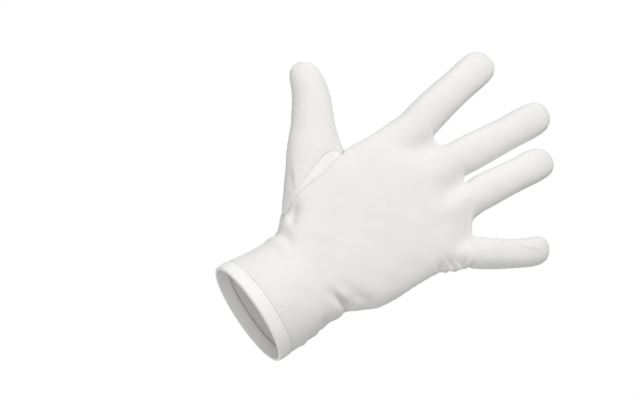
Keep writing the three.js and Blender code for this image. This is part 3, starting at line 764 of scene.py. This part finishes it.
def cloth_material(name, light, shade, wale, knit_depth, turn=0.0, patch=26 * MM):
    """Fine white knit: loops and slubs in the normal, mottling in colour and roughness, and
    painted shade along the seams and in the hollows between the knit's loops.
    """
    material = bpy.data.materials.get(name)
    if material:
        return material
    material = bpy.data.materials.new(name)
    material.use_nodes = True
    tree = material.node_tree
    tree.nodes.clear()
    add = Shader(tree)
    where = add.node("ShaderNodeTexCoord")
    turned = add.node("ShaderNodeMapping")
    turned.inputs["Rotation"].default_value = (0, turn, 0)
    tree.links.new(where.outputs["Object"], turned.inputs["Vector"])
    seam = add.node("ShaderNodeAttribute", attribute_name="seam")
    knit = add.node("ShaderNodeGroup", node_tree=group_named("knit_loops", knit_group))
    tree.links.new(turned.outputs["Vector"], knit.inputs["Place"])
    tree.links.new(where.outputs["Normal"], knit.inputs["Facing"])
    knit.inputs["Wale"].default_value = wale
    knit.inputs["Slant"].default_value = 1.4
    mottle = add.node("ShaderNodeGroup", node_tree=group_named("cloth_mottle_and_seam_shade", mottle_and_seam_shade_group))
    tree.links.new(where.outputs["Object"], mottle.inputs["Place"])
    tree.links.new(seam.outputs["Fac"], mottle.inputs["Seam"])
    mottle.inputs["Patch size"].default_value = patch
    colour = add.mix_colour(mottle.outputs["Shade"], rgba(light), rgba(shade))
    # Painted shade in the hollows between the knit's loops, a quarter of it in the colour
    painted_dip_shade = add.mix_colour(knit.outputs["Height"], rgba(shade), colour)
    ground = add.node("ShaderNodeMix", data_type="RGBA")
    ground.inputs["Factor"].default_value = 0.25
    tree.links.new(colour, ground.inputs["A"])
    tree.links.new(painted_dip_shade, ground.inputs["B"])
    loops = add.node("ShaderNodeBump")
    loops.inputs["Strength"].default_value = 0.55
    loops.inputs["Distance"].default_value = knit_depth
    tree.links.new(knit.outputs["Height"], loops.inputs["Height"])
    slubs = add.node("ShaderNodeBump")
    slubs.inputs["Strength"].default_value = 0.5
    slubs.inputs["Distance"].default_value = 0.35 * MM
    tree.links.new(mottle.outputs["Height"], slubs.inputs["Height"])
    tree.links.new(loops.outputs["Normal"], slubs.inputs["Normal"])
    shader = add.node("ShaderNodeBsdfPrincipled")
    shader.inputs["Sheen Weight"].default_value = 0.18
    shader.inputs["Sheen Roughness"].default_value = 0.45
    shader.inputs["Specular IOR Level"].default_value = 0.25
    shader.inputs["Subsurface Weight"].default_value = 0.12
    shader.inputs["Subsurface Radius"].default_value = (1.0, 0.95, 0.9)
    shader.inputs["Subsurface Scale"].default_value = 1.6 * MM
    tree.links.new(ground.outputs["Result"], shader.inputs["Base Color"])
    tree.links.new(mottle.outputs["Roughness"], shader.inputs["Roughness"])
    tree.links.new(slubs.outputs["Normal"], shader.inputs["Normal"])
    out = add.node("ShaderNodeOutputMaterial")
    tree.links.new(shader.outputs["BSDF"], out.inputs["Surface"])
    return material


def thread_material():
    look = sizes()
    return cloth_material(
        "sewing_thread", look.thread_colour, look.shade_colour, wale=0.3 * MM,
        knit_depth=0.05 * MM,
    )


def panel_material():
    look = sizes()
    return cloth_material(
        "fine_white_knit", look.cloth_colour, look.shade_colour, look.wale, look.knit_depth
    )


def thumb_material():
    look = sizes()
    return cloth_material(
        "fine_white_knit_thumb", look.cloth_colour, look.shade_colour, look.wale,
        look.knit_depth, turn=math.radians(-61),
    )


def doubled_material():
    look = sizes()
    return cloth_material(
        "doubled_white_knit", look.hem_colour, look.cloth_colour, look.wale, look.knit_depth
    )


# What glove_cages has made already
SEWN = {}


def glove_cages():
    """The cages of every sewn piece, their seams and the places along them, made once."""
    if not SEWN:
        SEWN["cages"] = {name: Cage(name) for name in (*SHELLS, HEM)}
        SEWN["seams"] = find_seams(SEWN["cages"])
        SEWN["sewing"] = Sewing(SEWN["seams"])
    return SEWN["cages"], SEWN["seams"], SEWN["sewing"]


def panel_seams():
    """The seams between two panels. The hem is folded cloth and has stitches of its own."""
    return [seam for seam in glove_cages()[1] if HEM not in seam.pair]


# Operators

class GLOVE_OT_panels(bpy.types.Operator):
    """Makes the back and the palm of the hand, each one cut panel with its halves of the fingers"""

    bl_idname = "glove.panels"
    bl_label = "Back and palm panels"

    def execute(self, context):
        cages, _, sewing = glove_cages()
        for node in PANELS:
            mesh = dress_shell(cages[node], sewing, 2)
            place(node + "_cloth", mesh, panel_material(), node)
        return {"FINISHED"}


class GLOVE_OT_thumb(bpy.types.Operator):
    """Makes the two halves of the thumb and the doubled lens of cloth at its seam"""

    bl_idname = "glove.thumb"
    bl_label = "Thumb and gusset"

    def execute(self, context):
        cages, _, sewing = glove_cages()
        for node in THUMB:
            doubled = node == "thumb_gusset"
            mesh = dress_shell(cages[node], sewing, 3)
            material = doubled_material() if doubled else thumb_material()
            place(node + "_cloth", mesh, material, node)
        return {"FINISHED"}


class GLOVE_OT_hem(bpy.types.Operator):
    """Makes the folded band round the wrist opening and the row of stitches that holds it"""

    bl_idname = "glove.hem"
    bl_label = "Cuff hem"

    # Where the stitches lie below the hem's seam and outside it, the share of the distance from
    # stitch to stitch that shows, and how high a stitch arches
    BELOW = 1.4 * MM
    PROUD = 0.24 * MM
    SHOWN = 0.72
    ARCH = 0.12 * MM

    def execute(self, context):
        look = sizes()
        cages, seams, sewing = glove_cages()
        mesh = cages[HEM].fine(3)
        outside = values_of(mesh, "outside")
        cut = values_of(mesh, "cut") > 0.99
        set_coordinates(mesh, sewing.close(coordinates(mesh), outside, cut))
        keep_values(mesh, "seam", np.zeros(len(mesh.vertices)))
        place("cuff_hem_cloth", mesh, doubled_material(), HEM)
        stitches = []
        for seam in (seam for seam in seams if HEM in seam.pair):
            _, middles, forward, outward = seam.resampled(look.stitch)
            for middle, along, up in zip(middles, forward, outward):
                low = middle + up * self.PROUD - Vector((0, 0, self.BELOW))
                length = look.stitch * self.SHOWN
                stitches.append(thread_stitch(low, along, up, length, look.thread, self.ARCH))
        points, faces = join(stitches)
        mesh = mesh_of("hem_stitches", points, faces)
        keep_values(mesh, "seam", np.zeros(len(mesh.vertices)))
        place("hem_stitches", mesh, thread_material())
        return {"FINISHED"}


class GLOVE_OT_seams(bpy.types.Operator):
    """Makes the turned-in edges inside the glove and the stitches that show between the pieces"""

    bl_idname = "glove.seams"
    bl_label = "Seams"

    # How long the stitches across a seam are, how high they arch, and how deep they sink into the
    # cloth as a share of the thread's radius
    ACROSS = 1.1 * MM
    ARCH = 0.1 * MM
    SUNK = 0.6

    def execute(self, context):
        look = sizes()
        seams = panel_seams()
        points, faces = join([turnings(seam) for seam in seams])
        mesh = mesh_of("seam_turnings", points, faces)
        keep_values(mesh, "seam", np.zeros(len(mesh.vertices)))
        place("seam_turnings", mesh, panel_material())
        stitches = []
        for seam in seams:
            _, middles, forward, outward = seam.resampled(look.stitch)
            depth = look.seam_dip + self.SUNK * look.thread
            for middle, along, up in zip(middles, forward, outward):
                way, low = np.cross(along, up), middle - up * depth
                stitches.append(
                    thread_stitch(low, way, up, self.ACROSS, look.thread, self.ARCH)
                )
        points, faces = join(stitches)
        mesh = mesh_of("seam_stitches", points, faces)
        keep_values(mesh, "seam", np.zeros(len(mesh.vertices)))
        place("seam_stitches", mesh, thread_material())
        return {"FINISHED"}


class GLOVE_OT_stage(bpy.types.Operator):
    """Makes the floor, the pale surroundings, the soft lights and the camera"""

    bl_idname = "glove.stage"
    bl_label = "Stage"

    # Where the camera looks and from how far, how it is tilted and rolled, and its lens
    TARGET = Vector((-0.031, 0.0, 0.073))
    DISTANCE = 0.912
    TILT = math.radians(-20)
    ROLL = math.radians(33.5)
    LENS = 90

    # The floor's height and half width, and how far out it has faded
    FLOOR = -1.05
    FLOOR_HALF = 3.0
    FLOOR_FADES = 3.0

    # The lights' places and widths in metres, and their power
    LIGHTS = (
        {"name": "key", "at": (-0.95, -1.25, 1.00), "wide": 1.1, "watts": 20.0},
        {"name": "fill", "at": (0.20, -1.30, -0.42), "wide": 1.1, "watts": 3.6},
        {"name": "back", "at": (0.0, 1.7, 0.62), "wide": 0.7, "watts": 14.0},
    )

    # How bright the surroundings light the glove
    SURROUNDINGS = 0.42

    def execute(self, context):
        self.add_camera(context.scene)
        self.add_floor(context.scene)
        self.add_lights(context.scene)
        self.add_surroundings(context.scene)
        context.scene.view_settings.view_transform = "Standard"
        return {"FINISHED"}

    def add_camera(self, scene):
        data = bpy.data.cameras.new("camera")
        data.lens = self.LENS
        data.sensor_width = 36
        data.clip_end = 50
        back = Vector((0, -math.cos(self.TILT), math.sin(self.TILT)))
        level = Vector((1, 0, 0))
        upright = level.cross(-back).normalized()
        right = upright * math.cos(self.ROLL) + level * math.sin(self.ROLL)
        up = upright * math.sin(self.ROLL) - level * math.cos(self.ROLL)
        place_at = self.TARGET + back * self.DISTANCE
        matrix = Matrix((right, up, back)).transposed().to_4x4()
        matrix.translation = place_at
        camera = bpy.data.objects.new("camera", data)
        camera.matrix_world = matrix
        scene.collection.objects.link(camera)
        scene.camera = camera

    def add_floor(self, scene):
        corners = ((-1, -1), (1, -1), (1, 1), (-1, 1))
        points = [(x * self.FLOOR_HALF, y * self.FLOOR_HALF, self.FLOOR) for x, y in corners]
        mesh = mesh_of("floor", np.array(points), [(0, 1, 2, 3)])
        floor = bpy.data.objects.new("floor", mesh)
        scene.collection.objects.link(floor)
        mesh.materials.append(self.floor_material())

    def floor_material(self):
        """A pale floor that fades into the surroundings far out and can be seen through from
        below."""
        material = bpy.data.materials.new("studio_floor")
        material.use_nodes = True
        tree = material.node_tree
        tree.nodes.clear()
        add = Shader(tree)
        where = add.node("ShaderNodeTexCoord")
        length = add.node("ShaderNodeVectorMath", operation="LENGTH")
        tree.links.new(where.outputs["Object"], length.inputs[0])
        far = add.node("ShaderNodeMapRange", interpolation_type="SMOOTHSTEP")
        tree.links.new(length.outputs["Value"], far.inputs["Value"])
        far.inputs["From Min"].default_value = -self.FLOOR
        far.inputs["From Max"].default_value = self.FLOOR_FADES
        rays = add.node("ShaderNodeLightPath")
        faded = add.math("MULTIPLY", far.outputs["Result"], rays.outputs["Is Camera Ray"])
        cloth = add.node("ShaderNodeBsdfPrincipled")
        cloth.inputs["Base Color"].default_value = rgba(sizes().floor_colour)
        cloth.inputs["Roughness"].default_value = 0.9
        glow = add.node("ShaderNodeEmission")
        edge = add.node("ShaderNodeMixShader")
        tree.links.new(faded, edge.inputs["Fac"])
        tree.links.new(cloth.outputs[0], edge.inputs[1])
        tree.links.new(glow.outputs[0], edge.inputs[2])
        side = add.node("ShaderNodeNewGeometry")
        clear = add.node("ShaderNodeBsdfTransparent")
        whole = add.node("ShaderNodeMixShader")
        tree.links.new(side.outputs["Backfacing"], whole.inputs["Fac"])
        tree.links.new(edge.outputs[0], whole.inputs[1])
        tree.links.new(clear.outputs[0], whole.inputs[2])
        out = add.node("ShaderNodeOutputMaterial")
        tree.links.new(whole.outputs[0], out.inputs["Surface"])
        return material

    def add_lights(self, scene):
        middle = (CAD_BOX[0] + CAD_BOX[1]) / 2
        for row in self.LIGHTS:
            data = bpy.data.lights.new(row["name"], "AREA")
            data.shape = "DISK"
            data.size = row["wide"]
            data.energy = row["watts"]
            light = bpy.data.objects.new(row["name"], data)
            light.location = Vector(row["at"])
            light.visible_camera = False
            light.rotation_mode = "QUATERNION"
            light.rotation_quaternion = (middle - light.location).to_track_quat("-Z", "Y")
            scene.collection.objects.link(light)

    def add_surroundings(self, scene):
        world = bpy.data.worlds.new("studio")
        scene.world = world
        world.use_nodes = True
        tree = world.node_tree
        tree.nodes.clear()
        add = Shader(tree)
        path = add.node("ShaderNodeLightPath")
        lit, seen = (add.node("ShaderNodeBackground") for _ in range(2))
        for glow, strength in ((lit, self.SURROUNDINGS), (seen, 1.0)):
            glow.inputs["Color"].default_value = (1, 1, 1, 1)
            glow.inputs["Strength"].default_value = strength
        mix = add.node("ShaderNodeMixShader")
        out = add.node("ShaderNodeOutputWorld")
        tree.links.new(path.outputs["Is Camera Ray"], mix.inputs["Fac"])
        tree.links.new(lit.outputs[0], mix.inputs[1])
        tree.links.new(seen.outputs[0], mix.inputs[2])
        tree.links.new(mix.outputs[0], out.inputs["Surface"])


STEPS = (GLOVE_OT_panels, GLOVE_OT_thumb, GLOVE_OT_hem, GLOVE_OT_seams, GLOVE_OT_stage)


class GLOVE_PT_sidebar(bpy.types.Panel):
    """Lists the glove's sizes and the steps that make it."""

    bl_label = "Dress glove"
    bl_idname = "GLOVE_PT_sidebar"
    bl_space_type = "VIEW_3D"
    bl_region_type = "UI"
    bl_category = "Glove"

    def draw(self, context):
        layout = self.layout
        for name in GloveSizes.__annotations__:
            layout.prop(context.scene.glove_sizes, name)
        for step in STEPS:
            layout.operator(step.bl_idname)


def register():
    for item in (GloveSizes, *STEPS, GLOVE_PT_sidebar):
        bpy.utils.register_class(item)
    bpy.types.Scene.glove_sizes = PointerProperty(type=GloveSizes)


def unregister():
    del bpy.types.Scene.glove_sizes
    for item in reversed((GloveSizes, *STEPS, GLOVE_PT_sidebar)):
        bpy.utils.unregister_class(item)


def main():
    register()
    bpy.ops.glove.panels()
    bpy.ops.glove.thumb()
    bpy.ops.glove.hem()
    bpy.ops.glove.seams()
    bpy.ops.glove.stage()


if __name__ == "__main__":
    main()
